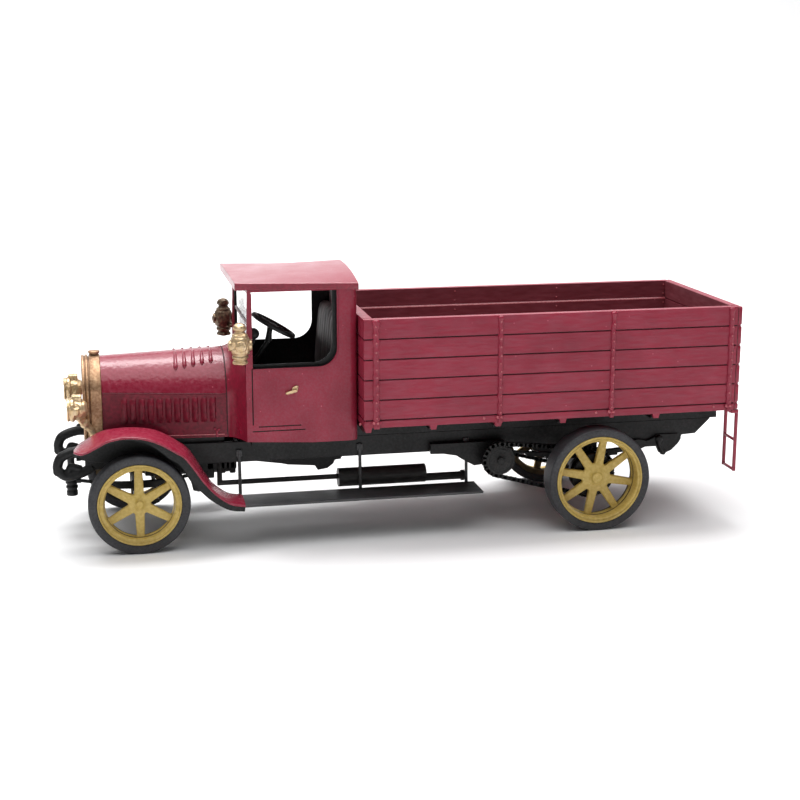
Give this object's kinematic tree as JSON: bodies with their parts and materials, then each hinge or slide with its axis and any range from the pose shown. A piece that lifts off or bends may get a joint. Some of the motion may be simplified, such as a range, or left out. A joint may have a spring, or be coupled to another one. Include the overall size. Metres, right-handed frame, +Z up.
{
  "type": "scale model lorry",
  "caption": "Small scale model of an early chain-driven lorry with bonnet, open-sided cab, brass lamps, spoked wheels and a plank-sided load bed.",
  "frame": {"origin": "on the ground under the middle of the model: the bottom centre of its bounding box", "axes": "+X towards the front of the lorry, +Y to its left, +Z up"},
  "size_m": [0.0692, 0.0208, 0.0268],
  "materials": {
    "red_paint": "satin crimson enamel",
    "roof_paint": "satin crimson enamel",
    "bed_floor_paint": "dark, dusty crimson enamel",
    "black_paint": "satin black enamel",
    "board_paint": "worn black enamel",
    "chain_steel": "dark oiled metal",
    "exhaust_metal": "dark metal",
    "brass": "satin brass",
    "radiator_core": "dark brass",
    "seat_leather": "matt black",
    "glass": "clear",
    "ochre_paint": "satin ochre enamel",
    "tyre": "matt dark grey"
  },
  "bodies": {
    "chassis": {"bonnet": "red_paint", "cab_body": "red_paint", "front_fender_left": "red_paint", "front_fender_right": "red_paint", "bed_side_left": "red_paint", "bed_side_right": "red_paint", "headboard": "red_paint", "tailboard": "red_paint", "ladder": "red_paint", "roof": "roof_paint", "bed_floor": "bed_floor_paint", "frame_rail_left": "black_paint", "frame_rail_right": "black_paint", "front_cross_member": "black_paint", "rear_cross_member": "black_paint", "crankcase": "black_paint", "gearbox": "black_paint", "front_spring_left": "black_paint", "front_spring_right": "black_paint", "rear_spring_left": "black_paint", "rear_spring_right": "black_paint", "fender_apron_left": "black_paint", "fender_apron_right": "black_paint", "front_axle": "black_paint", "rear_axle": "black_paint", "cross_shaft": "black_paint", "bed_frame": "black_paint", "windscreen_frame": "black_paint", "steering_wheel": "black_paint", "cab_floor": "black_paint", "starting_crank": "black_paint", "running_board_left": "board_paint", "drive_chain_left": "chain_steel", "drive_chain_right": "chain_steel", "exhaust": "exhaust_metal", "radiator_shell": "brass", "horn": "brass", "headlamp_left": "brass", "headlamp_right": "brass", "side_lamp_left": "brass", "side_lamp_right": "brass", "radiator_core": "radiator_core", "seat": "seat_leather", "windscreen_glass": "glass"},
    "wheel_front_left": {"front_rim_left": "ochre_paint", "front_tyre_left": "tyre"},
    "wheel_front_right": {"front_rim_right": "ochre_paint", "front_tyre_right": "tyre"},
    "wheel_rear_left": {"rear_rim_left": "ochre_paint", "rear_tyre_left": "tyre"},
    "wheel_rear_right": {"rear_rim_right": "ochre_paint", "rear_tyre_right": "tyre"}
  },
  "joints": [
    {"name": "front_left_spin", "type": "hinge", "parent": "chassis", "child": "wheel_front_left", "pos_m": [0.0264, 0.0075, 0.00492], "axis": [0, 1, 0], "continuous": true},
    {"name": "front_right_spin", "type": "hinge", "parent": "chassis", "child": "wheel_front_right", "pos_m": [0.0264, -0.0075, 0.00492], "axis": [0, 1, 0], "continuous": true},
    {"name": "rear_left_spin", "type": "hinge", "parent": "chassis", "child": "wheel_rear_left", "pos_m": [-0.0196, 0.0091, 0.0053], "axis": [0, 1, 0], "continuous": true},
    {"name": "rear_right_spin", "type": "hinge", "parent": "chassis", "child": "wheel_rear_right", "pos_m": [-0.0196, -0.0091, 0.0053], "axis": [0, 1, 0], "continuous": true}
  ]
}
